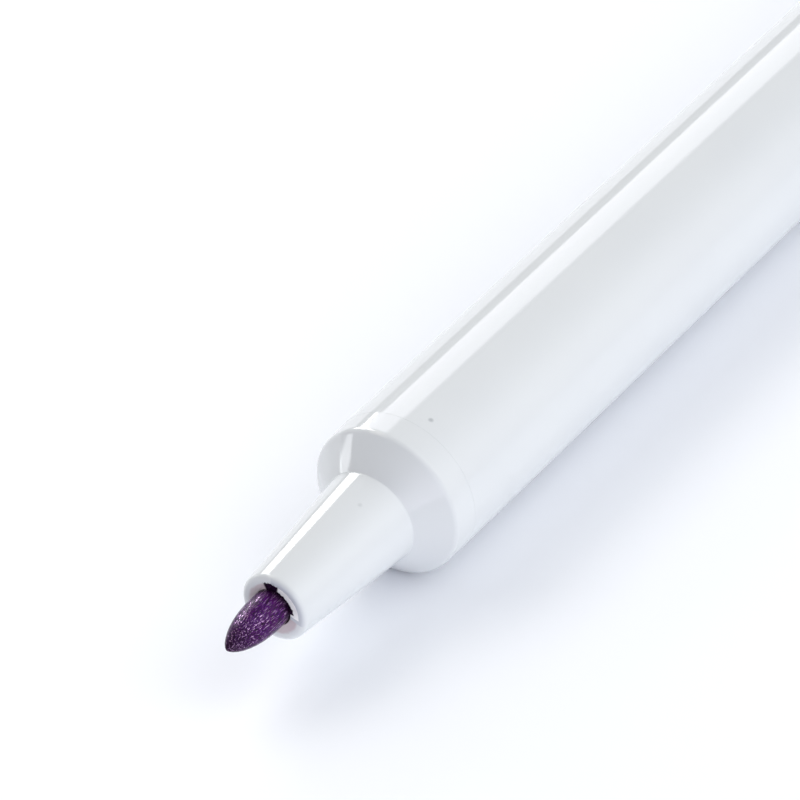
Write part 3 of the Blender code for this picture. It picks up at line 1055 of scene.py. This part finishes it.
@dataclass
class Nose:
    """The nib holder: mouth, slim cone, steep shoulder and land."""

    shop: Workshop
    cone_length: float = 10.3 * MM
    cone_base_radius: float = 3.2 * MM
    cone_root_fillet: float = 0.12 * MM
    lip_radius: float = 2.3 * MM
    lip_fillet: float = 0.36 * MM
    dish_radius: float = 1.87 * MM
    dish_depth: float = 0.08 * MM
    dish_fillet: float = 0.05 * MM
    grip_radius: float = 1.2 * MM
    grip_length: float = 0.35 * MM
    seat_radius: float = 1.4 * MM
    seat_length: float = 11.2 * MM
    shoulder_length: float = 1.8 * MM
    rim_radius: float = 5.19 * MM
    rim_fillet: float = 0.55 * MM
    land_length: float = 1.8995 * MM
    land_fillet: float = 0.002 * MM
    land_step: float = 0.006 * MM
    spigot_radius: float = 4.34 * MM
    spigot_wall: float = 0.9 * MM
    spigot_length: float = 8.0 * MM
    groove_count: int = 6
    groove_radius: float = 0.3 * MM
    groove_setback: float = 1.2 * MM
    segments: int = 384

    def rim(self) -> float:
        """Where the shoulder meets the land, along the marker."""
        return self.cone_length + self.shoulder_length

    def profile(self) -> list[tuple[float, float]]:
        """Draws the section of the holder, from the dished mouth round the outside and back.

        Returns:
            The points (along, radius) of the section.
        """
        radius = self.shop.datum.radius
        land_end = self.rim() + self.land_length
        spigot_end = land_end + self.spigot_length
        bore = self.spigot_radius - self.spigot_wall
        seat_end = self.dish_depth + self.seat_length
        grip_end = self.dish_depth + self.grip_length
        corners = [
            Corner(self.dish_depth, self.grip_radius),
            Corner(0.0, self.dish_radius, self.dish_fillet),
            Corner(0.0, self.lip_radius, self.lip_fillet),
            Corner(self.cone_length, self.cone_base_radius, self.cone_root_fillet),
            Corner(self.rim(), self.rim_radius, self.rim_fillet),
            Corner(land_end, radius - self.land_step, self.land_fillet),
            Corner(land_end, self.spigot_radius),
            Corner(spigot_end, self.spigot_radius, self.land_fillet),
            Corner(spigot_end, bore),
            Corner(seat_end + bore - self.seat_radius, bore),
            Corner(seat_end, self.seat_radius),
            Corner(grip_end, self.seat_radius),
            Corner(grip_end, self.grip_radius),
            Corner(self.dish_depth, self.grip_radius),
        ]
        return rounded_profile(corners)

    def build(self) -> None:
        """Makes the holder and cuts the air grooves beside the nib's seat."""
        finish = NOSE_WHITE.material(self.shop.datum)
        piece = self.shop.turn("nose_section_moulding", self.profile(), finish, self.segments)
        grooves = (self.dish_depth + self.groove_setback, self.dish_depth + self.seat_length)
        self.shop.drill(piece, self.groove_count, self.seat_radius, self.groove_radius, grooves)
        self.shop.hand_over(piece, Body.MARKER, Slot.WHITE_PLASTIC, "nose_section")


@dataclass
class Barrel:
    """The straight tube."""

    shop: Workshop
    wall: float = 0.8 * MM
    edge_fillet: float = 0.002 * MM
    segments: int = 768

    def build(self) -> None:
        """Makes the tube with its ends softened."""
        datum = self.shop.datum
        start, end = (datum.along(x) for x in datum.barrel_x)
        bore = datum.radius - self.wall
        corners = [
            Corner(start, bore),
            Corner(start, datum.radius, self.edge_fillet),
            Corner(end, datum.radius, self.edge_fillet),
            Corner(end, bore),
            Corner(start, bore),
        ]
        finish = BARREL_WHITE.material(datum)
        piece = self.shop.turn("barrel_tube", rounded_profile(corners), finish, self.segments)
        self.shop.hand_over(piece, Body.MARKER, Slot.WHITE_PLASTIC, "barrel")


@dataclass
class Nib:
    """The bonded fibre rod with its bullet tip."""

    shop: Workshop
    radius: float = 1.238 * MM
    tip_setback: float = 0.1 * MM
    bullet_length: float = 3.98 * MM
    bullet_power: float = 2.17
    bullet_fullness: float = 0.7
    bullet_rings: int = 150
    rod_rings: int = 60
    fine_rod: float = 2.6 * MM
    tail_fillet: float = 0.3 * MM
    strand_height: float = 0.03 * MM
    strand_width: float = 0.08 * MM
    strand_length: float = 0.5 * MM
    shift: tuple[float, float, float] = (0.0, 0.1 * MM, 0.07 * MM)
    segments: int = 300

    def profile(self) -> list[tuple[float, float]]:
        """Draws the rod's section, from the tip to the tail.

        Returns:
            The points (along, radius) of the section.
        """
        tip, tail = (self.shop.datum.along(x) for x in self.shop.datum.nib_x)
        base = tip + self.tip_setback + self.bullet_length
        points = []
        for ring in range(self.bullet_rings + 1):
            share = math.cos(math.pi / 2 * ring / self.bullet_rings)
            radius = self.radius * (1 - share**self.bullet_power) ** self.bullet_fullness
            points.append((base - self.bullet_length * share, radius))
        for ring in range(1, self.rod_rings):
            points.append((base + self.fine_rod * ring / self.rod_rings, self.radius))
        rod = [
            Corner(base + self.fine_rod, self.radius),
            Corner(tail, self.radius, self.tail_fillet),
            Corner(tail, 0.0),
        ]
        return points + rounded_profile(rod)

    def build(self) -> None:
        """Makes the rod, its surface raised in fine strands."""
        datum = self.shop.datum
        fibre = (self.strand_height, self.strand_width, self.strand_length)
        finish = NIB_FIBRE.material(datum)
        piece = self.shop.turn("fibre_nib", self.profile(), finish, self.segments, fibre, self.shift)
        self.shop.hand_over(piece, Body.MARKER, Slot.INKED_FIBRE, "nib")


@dataclass
class Reservoir:
    """The soaked fibre core in its film sleeve, inside the barrel."""

    shop: Workshop
    core_radius: float = 3.84 * MM
    core_fillet: float = 0.3 * MM
    film_radius: float = 4.19 * MM
    film_thickness: float = 0.25 * MM
    hole_radius: float = 1.4 * MM
    hole_depth: float = 8.1 * MM
    strand_height: float = 0.05 * MM
    core_segments: int = 160
    film_segments: int = 96

    def build(self) -> None:
        """Makes the core with its hole for the nib's tail, and the sleeve."""
        datum = self.shop.datum
        start, end = (datum.along(x) for x in datum.reservoir_x)
        corners = [
            Corner(start + self.hole_depth, 0.0),
            Corner(start + self.hole_depth, self.hole_radius),
            Corner(start, self.hole_radius),
            Corner(start, self.core_radius, self.core_fillet),
            Corner(end, self.core_radius, self.core_fillet),
            Corner(end, 0.0),
        ]
        fibre = (self.strand_height, CORE_FIBRE.strand_width, CORE_FIBRE.strand_length)
        finish = CORE_FIBRE.material(datum)
        profile = rounded_profile(corners)
        core = self.shop.turn("reservoir_fibre", profile, finish, self.core_segments, fibre)
        self.shop.hand_over(core, Body.MARKER, Slot.SOAKED_FIBRE, "reservoir_core")
        inner = self.film_radius - self.film_thickness
        sleeve = [
            Corner(start, inner),
            Corner(start, self.film_radius),
            Corner(end, self.film_radius),
            Corner(end, inner),
            Corner(start, inner),
        ]
        profile = rounded_profile(sleeve)
        film = self.shop.turn("reservoir_sleeve", profile, FILM.material(), self.film_segments)
        self.shop.hand_over(film, Body.MARKER, Slot.CLEAR_FILM, "reservoir_film")


@dataclass
class EndPlug:
    """The cup that closes the barrel's back end and carries the posted cap."""

    shop: Workshop
    spigot_radius: float = 4.34 * MM
    spigot_length: float = 9.0 * MM
    flange_length: float = 1.5 * MM
    flange_fillet: float = 0.08 * MM
    collar_radius: float = 4.34 * MM
    collar_fillet: float = 0.3 * MM
    wall: float = 0.7 * MM
    cup_depth: float = 10.0 * MM
    floor: float = 1.2 * MM

    def build(self) -> None:
        """Makes the plug: spigot, flush flange and hollow collar."""
        datum = self.shop.datum
        start, end = (datum.along(x) for x in datum.plug_x)
        flange = start + self.spigot_length
        collar = flange + self.flange_length
        cup = self.collar_radius - self.wall
        core = self.spigot_radius - self.wall
        cup_floor = end - self.cup_depth
        corners = [
            Corner(cup_floor - self.floor, 0.0),
            Corner(cup_floor - self.floor, core, self.flange_fillet),
            Corner(start, core),
            Corner(start, self.spigot_radius, self.collar_fillet),
            Corner(flange, self.spigot_radius),
            Corner(flange, datum.radius, self.flange_fillet),
            Corner(collar, datum.radius, self.flange_fillet),
            Corner(collar, self.collar_radius),
            Corner(end, self.collar_radius, self.collar_fillet),
            Corner(end, cup, self.flange_fillet),
            Corner(cup_floor, cup, self.collar_fillet),
            Corner(cup_floor, 0.0),
        ]
        piece = self.shop.turn("end_plug_moulding", rounded_profile(corners), VIOLET.material(datum))
        self.shop.hand_over(piece, Body.MARKER, Slot.VIOLET_PLASTIC, "end_plug")


@dataclass
class Cap:
    """The tapered cap with its moulded clip, vents and inner seal. The clip's turn is in degrees."""

    shop: Workshop
    top_radius: float = 5.0 * MM
    wall: float = 0.8 * MM
    end_wall: float = 1.2 * MM
    end_fillet: float = 0.5 * MM
    mouth_fillet: float = 0.12 * MM
    straight_bore: float = 7.0 * MM
    vent_count: int = 3
    vent_radius: float = 0.7 * MM
    vent_circle: float = 2.6 * MM
    clip_turn: float = 63.15
    clip_length: float = 31.0 * MM
    clip_width: float = 3.8 * MM
    clip_tip_width: float = 3.3 * MM
    clip_thickness: float = 1.6 * MM
    clip_crown: float = 0.12 * MM
    clip_gap: float = 1.3 * MM
    clip_root: float = 4.0 * MM
    clip_root_fillet: float = 1.0 * MM
    clip_inset: float = 1.2 * MM
    clip_sunk: float = 0.4 * MM
    clip_bead: float = 3.4 * MM
    clip_bead_gap: float = 0.4 * MM
    clip_tip_round: float = 1.3 * MM
    clip_shoulder: float = 2.2 * MM
    clip_fillet: float = 0.4 * MM
    clip_stations: int = 24
    clip_first_station: float = 0.01 * MM
    clip_fillet_steps: int = 6
    seal_mouth_radius: float = 2.75 * MM
    seal_lip_radius: float = 2.4 * MM
    seal_chamber_radius: float = 1.75 * MM
    seal_wall: float = 0.5 * MM
    seal_cone: float = 4.05 * MM
    seal_end_wall: float = 0.8 * MM
    seal_flange: float = 1.6 * MM
    seal_flange_radius: float = 4.19 * MM
    notch_count: int = 4
    notch_radius: float = 0.65 * MM
    seal_segments: int = 128

    PLACE_DIGITS = 9
    WIDEST_FILLET = 0.49

    def shell(self, material: bpy.types.Material) -> bpy.types.Object:
        """Makes the shell with its end wall.

        Args:
            material: Its finish.

        Returns:
            The shell.
        """
        datum = self.shop.datum
        mouth, end = (datum.along(x) for x in datum.cap_x)
        bore = datum.radius - self.wall
        corners = [
            Corner(end - self.end_wall, 0.0),
            Corner(end - self.end_wall, self.top_radius - self.wall, self.end_fillet),
            Corner(mouth + self.straight_bore, bore),
            Corner(mouth, bore, self.mouth_fillet),
            Corner(mouth, datum.radius, self.mouth_fillet),
            Corner(end, self.top_radius, self.end_fillet),
            Corner(end, 0.0),
        ]
        return self.shop.turn("cap_moulding", rounded_profile(corners), material)

    def clip_places(self) -> list[float]:
        """Lists where the clip's section is drawn, densely where it curves.

        Returns:
            The distances from the clip's tip, in order.
        """
        root = self.clip_length - self.clip_root
        stretches = [
            (self.clip_first_station, self.clip_tip_round),
            (self.clip_tip_round, self.clip_bead),
            (self.clip_bead, root - self.clip_root_fillet),
            (root - self.clip_root_fillet, root),
            (root + self.clip_first_station, self.clip_length - self.clip_shoulder),
            (self.clip_length - self.clip_shoulder, self.clip_length),
        ]
        places = {self.clip_first_station}
        for start, end in stretches:
            for step in range(self.clip_stations + 1):
                ease = (1 - math.cos(math.pi * step / self.clip_stations)) / 2
                places.add(round(start + (end - start) * ease, self.PLACE_DIGITS))
        return sorted(places)

    def clip_section(self, place: float) -> tuple[float, float, float]:
        """Works out the clip's section at a distance from its tip.

        Args:
            place: The distance from the tip.

        Returns:
            Its inner and outer radius about the cap's axis, and its width.
        """
        radius = self.shop.datum.radius
        inner, bead = radius + self.clip_gap, radius + self.clip_bead_gap
        outer = inner + self.clip_thickness
        root = self.clip_length - self.clip_root
        low = inner
        if place > root:
            low = self.top_radius - self.clip_sunk
        elif place > root - self.clip_root_fillet:
            reach = place - root + self.clip_root_fillet
            low = inner - self.clip_root_fillet + math.sqrt(self.clip_root_fillet**2 - reach**2)
        elif place < self.clip_bead:
            share = min(1.0, 2 * (1 - place / self.clip_bead))
            low = inner - (inner - bead) * (1 - math.cos(math.pi * share)) / 2
        past_shoulder = max(0.0, place - self.clip_length + self.clip_shoulder)
        high = outer - self.clip_shoulder + math.sqrt(self.clip_shoulder**2 - past_shoulder**2)
        width = self.clip_tip_width + (self.clip_width - self.clip_tip_width) * place / self.clip_length
        if place < self.clip_tip_round:
            share = math.sqrt(1 - (1 - place / self.clip_tip_round) ** 2)
            middle = (low + high) / 2
            low, high = middle + (low - middle) * share, middle + (high - middle) * share
            width *= share
        return low, high, width

    def clip(self) -> bpy.types.Object:
        """Makes the clip as a closed mesh, drawn through its sections.

        Returns:
            The clip.
        """
        shape = bmesh.new()
        rings = []
        start = self.shop.datum.along(self.shop.datum.cap_x[1]) - self.clip_inset - self.clip_length
        for place in self.clip_places():
            low, high, width = self.clip_section(place)
            fillet = min(self.clip_fillet, self.WIDEST_FILLET * (high - low), self.WIDEST_FILLET * width)
            ring = []
            for corner in range(4):
                side = 1 if corner in (0, 3) else -1
                edge = high - fillet if corner < 2 else low + fillet
                for step in range(self.clip_fillet_steps + 1):
                    angle = math.pi / 2 * (corner + step / self.clip_fillet_steps)
                    across = side * (width / 2 - fillet) + fillet * math.cos(angle)
                    out = edge + fillet * math.sin(angle)
                    if corner < 2:
                        out -= self.clip_crown * (2 * across / self.clip_width) ** 2
                    ring.append(shape.verts.new((start + place, across, out)))
            rings.append(ring)
        for before, after in zip(rings, rings[1:]):
            for i in range(len(before)):
                k = (i + 1) % len(before)
                shape.faces.new((before[i], before[k], after[k], after[i]))
        shape.faces.new(rings[0])
        shape.faces.new(rings[-1])
        bmesh.ops.recalc_face_normals(shape, faces=shape.faces)
        turn = Matrix.Rotation(math.radians(self.clip_turn) - math.pi, 4, "X")
        shape.transform(Matrix.Translation(self.shop.datum.origin()) @ turn)
        mesh = bpy.data.meshes.new("clip")
        shape.to_mesh(mesh)
        shape.free()
        return link_object("clip", mesh)

    def join_clip(self, shell: bpy.types.Object) -> None:
        """Joins the clip to the shell as one moulding.

        Args:
            shell: The shell, which then holds both.
        """
        clip = self.clip()
        joint = shell.modifiers.new("clip", "BOOLEAN")
        joint.operation = "UNION"
        joint.object = clip
        settle(shell, joint, shell.data.materials[0])
        bpy.data.objects.remove(clip)
        closed_and_smooth(shell)

    def seal(self, material: bpy.types.Material) -> bpy.types.Object:
        """Makes the thimble that closes over the nose, with its notched flange.

        Args:
            material: Its finish.

        Returns:
            The thimble.
        """
        datum = self.shop.datum
        mouth, end = (datum.along(x) for x in datum.seal_x)
        lip = mouth + self.seal_cone
        body = self.seal_mouth_radius + self.seal_wall
        chamber_end = end - self.seal_end_wall
        corners = [
            Corner(chamber_end, 0.0),
            Corner(chamber_end, self.seal_chamber_radius, self.seal_wall / 2),
            Corner(lip, self.seal_chamber_radius),
            Corner(lip, self.seal_lip_radius),
            Corner(mouth, self.seal_mouth_radius, self.seal_wall / 3),
            Corner(mouth, body, self.seal_wall / 3),
            Corner(end - self.seal_flange, body),
            Corner(end - self.seal_flange, self.seal_flange_radius, self.mouth_fillet),
            Corner(end, self.seal_flange_radius, self.mouth_fillet),
            Corner(end, 0.0),
        ]
        profile = rounded_profile(corners)
        piece = self.shop.turn("inner_seal_thimble", profile, material, self.seal_segments)
        notches = (end - 2 * self.seal_flange, end + self.seal_flange)
        self.shop.drill(piece, self.notch_count, self.seal_flange_radius, self.notch_radius, notches)
        return piece

    def build(self) -> None:
        """Makes the shell with clip and vents, and the seal in it."""
        datum = self.shop.datum
        shell = self.shell(VIOLET.material(datum))
        self.join_clip(shell)
        end = datum.along(datum.cap_x[1])
        vents = (end - 2 * self.end_wall, end + self.end_wall)
        turn = math.pi / self.vent_count
        self.shop.drill(shell, self.vent_count, self.vent_circle, self.vent_radius, vents, turn)
        self.shop.hand_over(shell, Body.CAP, Slot.VIOLET_PLASTIC, "cap_shell")
        seal = self.seal(NATURAL.material(datum))
        self.shop.hand_over(seal, Body.CAP, Slot.SEAL_PLASTIC, "cap_inner_seal")


@dataclass(frozen=True)
class Softbox:
    """A flat soft light, aimed at a point.

    Attributes:
        name: What the light does.
        azimuth: Its direction from the target, counted from +X towards +Y, in degrees.
        elevation: Its height above the target, in degrees.
        distance: How far it is from the target.
        size: Its width and height.
        radiance: How bright it looks, where 1 is white.
        colour: Its colour.
        roll: How far it is tipped about its aim, in degrees.
        reach: What it lights.
    """

    name: str
    azimuth: float
    elevation: float
    distance: float
    size: tuple[float, float]
    radiance: float
    colour: str = "#FFFFFF"
    roll: float = 0.0
    reach: Reach = Reach.ALL

    def place(self, target: Vector, table: bpy.types.Object) -> None:
        """Adds the light to the scene.

        Args:
            target: The point that it is aimed at.
            table: The floor, which it may light alone or leave out.
        """
        light = bpy.data.lights.new(self.name, "AREA")
        light.shape = "RECTANGLE"
        light.size, light.size_y = self.size
        light.energy = self.radiance * math.pi * self.size[0] * self.size[1]
        light.color = linear(self.colour)[:3]
        holder = link_object(self.name, light)
        away = towards(self.azimuth, self.elevation)
        holder.location = target + away * self.distance
        aim = (-away).to_track_quat("-Z", "Y") @ Quaternion((0, 0, 1), math.radians(self.roll))
        holder.rotation_euler = aim.to_euler()
        holder.visible_camera = False
        if self.reach is not Reach.ALL:
            lit = bpy.data.collections.new(self.name)
            lit.objects.link(table)
            holder.light_linking.receiver_collection = lit
            state = "INCLUDE" if self.reach is Reach.TABLE else "EXCLUDE"
            lit.collection_objects[0].light_linking.link_state = state


@dataclass(frozen=True)
class SkyLobe:
    """A broad patch of brighter sky.

    Attributes:
        azimuth: Its direction, counted from +X towards +Y, in degrees.
        elevation: Its height, in degrees.
        strength: How bright its middle is, where 1 is white.
        colour: Its colour.
        power: How narrow it is: the power of the cosine that it falls off with.
    """

    azimuth: float
    elevation: float
    strength: float
    colour: str
    power: float = 8.0


def towards(azimuth: float, elevation: float) -> Vector:
    """The direction of an azimuth, counted from +X towards +Y, and an elevation, in degrees."""
    turn, rise = math.radians(azimuth), math.radians(elevation)
    return Vector((math.cos(turn) * math.cos(rise), math.sin(turn) * math.cos(rise), math.sin(rise)))


@dataclass
class Studio:
    """The back-lit table, the soft light and the camera at the photograph's viewing angle."""

    target: Vector
    camera_turn: float = 34.1
    camera_rise: float = 39.67
    camera_distance: float = 400 * MM
    focal_px: float = 6559.6
    target_px: tuple[float, float] = (385.8, 502.1)
    sensor: float = 36.0
    near_clip: float = 10 * MM
    floor_side: float = 6.0
    floor_colour: str = "#F2F4F9"
    floor_roughness: float = 0.9
    sky_strength: float = 0.17
    sky_colour: str = "#F3F8FF"
    lobes: tuple[SkyLobe, ...] = (
        SkyLobe(225.0, 8.0, 2.33, "#F7F4FF"),
        SkyLobe(270.0, 8.0, 0.57, "#ECF9FF"),
        SkyLobe(315.0, 8.0, 0.5, "#FFF0E8"),
        SkyLobe(300.0, 27.0, 1.02, "#FDFFFC", 14.0),
        SkyLobe(300.0, 45.0, 0.92, "#FBFFFF"),
        SkyLobe(300.0, 70.0, 1.12, "#FEFFFF"),
    )
    # Each box's azimuth, elevation, distance, size and radiance, then its colour and roll.
    softboxes: tuple[Softbox, ...] = (
        Softbox("back_softbox", 38.0, 26.0, 0.9, (0.29, 0.42), 2.75, "#FAF9FF", 18.0),
        Softbox("side_softbox", 55.0, 19.0, 0.9, (0.14, 0.32), 8.5),
        Softbox("flank_softbox", 66.0, 27.0, 0.9, (0.19, 0.44), 10.0, reach=Reach.PART),
        Softbox("left_softbox", 92.0, 51.0, 1.0, (0.9, 0.36), 1.9, "#FFF8EA"),
        Softbox("table_softbox", 92.0, 50.0, 1.0, (1.1, 0.9), 1.35, reach=Reach.TABLE),
        Softbox("shoulder_strip", 110.0, 9.4, 0.0324, (0.0027, 0.011), 5.0, "#FBFEFF", -24.0),
    )

    def camera(self) -> None:
        """Adds the camera, so that the target lands on its pixel."""
        ahead = towards(self.camera_turn, -self.camera_rise)
        right = ahead.cross(Vector((0, 0, 1))).normalized()
        up = right.cross(ahead)
        middle = IMAGE_SIDE_PX / 2
        offset = up * (self.target_px[1] - middle) - right * (self.target_px[0] - middle)
        lens = bpy.data.cameras.new("camera")
        lens.sensor_width = self.sensor
        lens.lens = self.focal_px * self.sensor / IMAGE_SIDE_PX
        lens.clip_start = self.near_clip
        holder = link_object("camera", lens)
        holder.location = self.target - ahead * self.camera_distance
        aim = self.target + offset * (self.camera_distance / self.focal_px)
        holder.rotation_euler = (aim - holder.location).to_track_quat("-Z", "Y").to_euler()
        bpy.context.scene.camera = holder

    def floor(self, height: float) -> bpy.types.Object:
        """Adds the plain pale floor.

        Args:
            height: Where it lies.

        Returns:
            The floor.
        """
        shape = bmesh.new()
        bmesh.ops.create_grid(shape, x_segments=2, y_segments=2, size=self.floor_side / 2)
        mesh = bpy.data.meshes.new("floor")
        shape.to_mesh(mesh)
        shape.free()
        material, _, shader = new_material("matt_white_table")
        shader.inputs["Base Color"].default_value = linear(self.floor_colour)
        shader.inputs["Roughness"].default_value = self.floor_roughness
        shader.inputs["Specular IOR Level"].default_value = 0.0
        mesh.materials.append(material)
        floor = link_object("floor", mesh)
        floor.location.z = height
        floor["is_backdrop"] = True
        return floor

    def sky(self) -> None:
        """Adds the soft light all round: an even sky with broad brighter patches."""
        world = bpy.data.worlds.new("studio")
        bpy.context.scene.world = world
        world.use_nodes = True
        tree = world.node_tree
        direction = add_node(tree, "ShaderNodeTexCoord").outputs["Generated"]
        colour = add_node(tree, "ShaderNodeRGB")
        colour.outputs[0].default_value = [c * self.sky_strength for c in linear(self.sky_colour)]
        light = colour.outputs[0]
        for lobe in self.lobes:
            middle = towards(lobe.azimuth, lobe.elevation)
            dot = {0: direction, 1: middle}
            facing = add_node(tree, "ShaderNodeVectorMath", dot, operation="DOT_PRODUCT").outputs["Value"]
            above = add_node(tree, "ShaderNodeMath", {0: facing, 1: 0.0}, operation="MAXIMUM")
            fall = add_node(tree, "ShaderNodeMath", {0: above.outputs[0], 1: lobe.power}, operation="POWER")
            peak = {0: [c * lobe.strength for c in linear(lobe.colour)[:3]], "Scale": fall.outputs[0]}
            patch = add_node(tree, "ShaderNodeVectorMath", peak, operation="SCALE")
            both = {0: light, 1: patch.outputs[0]}
            light = add_node(tree, "ShaderNodeVectorMath", both, operation="ADD").outputs[0]
        tree.links.new(light, tree.nodes["Background"].inputs["Color"])

    def build(self, floor_height: float) -> None:
        """Adds camera, floor, sky and softboxes.

        Args:
            floor_height: Where the floor lies.
        """
        bpy.context.scene.view_settings.view_transform = "Standard"
        self.camera()
        table = self.floor(floor_height)
        self.sky()
        for softbox in self.softboxes:
            softbox.place(self.target, table)


def main() -> None:
    """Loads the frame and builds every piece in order."""
    logging.basicConfig(level=logging.INFO, format="%(name)s: %(message)s")
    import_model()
    cad_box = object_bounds()
    datum = Datum.from_frame()
    shop = Workshop(datum)
    Nose(shop).build()
    Barrel(shop).build()
    Nib(shop).build()
    Reservoir(shop).build()
    EndPlug(shop).build()
    Cap(shop).build()
    aim = datum.origin() + Vector((CAMERA_AIM, 0.0, 0.0))
    Studio(aim).build(cad_box[0].z)


if __name__ == "__main__":
    main()
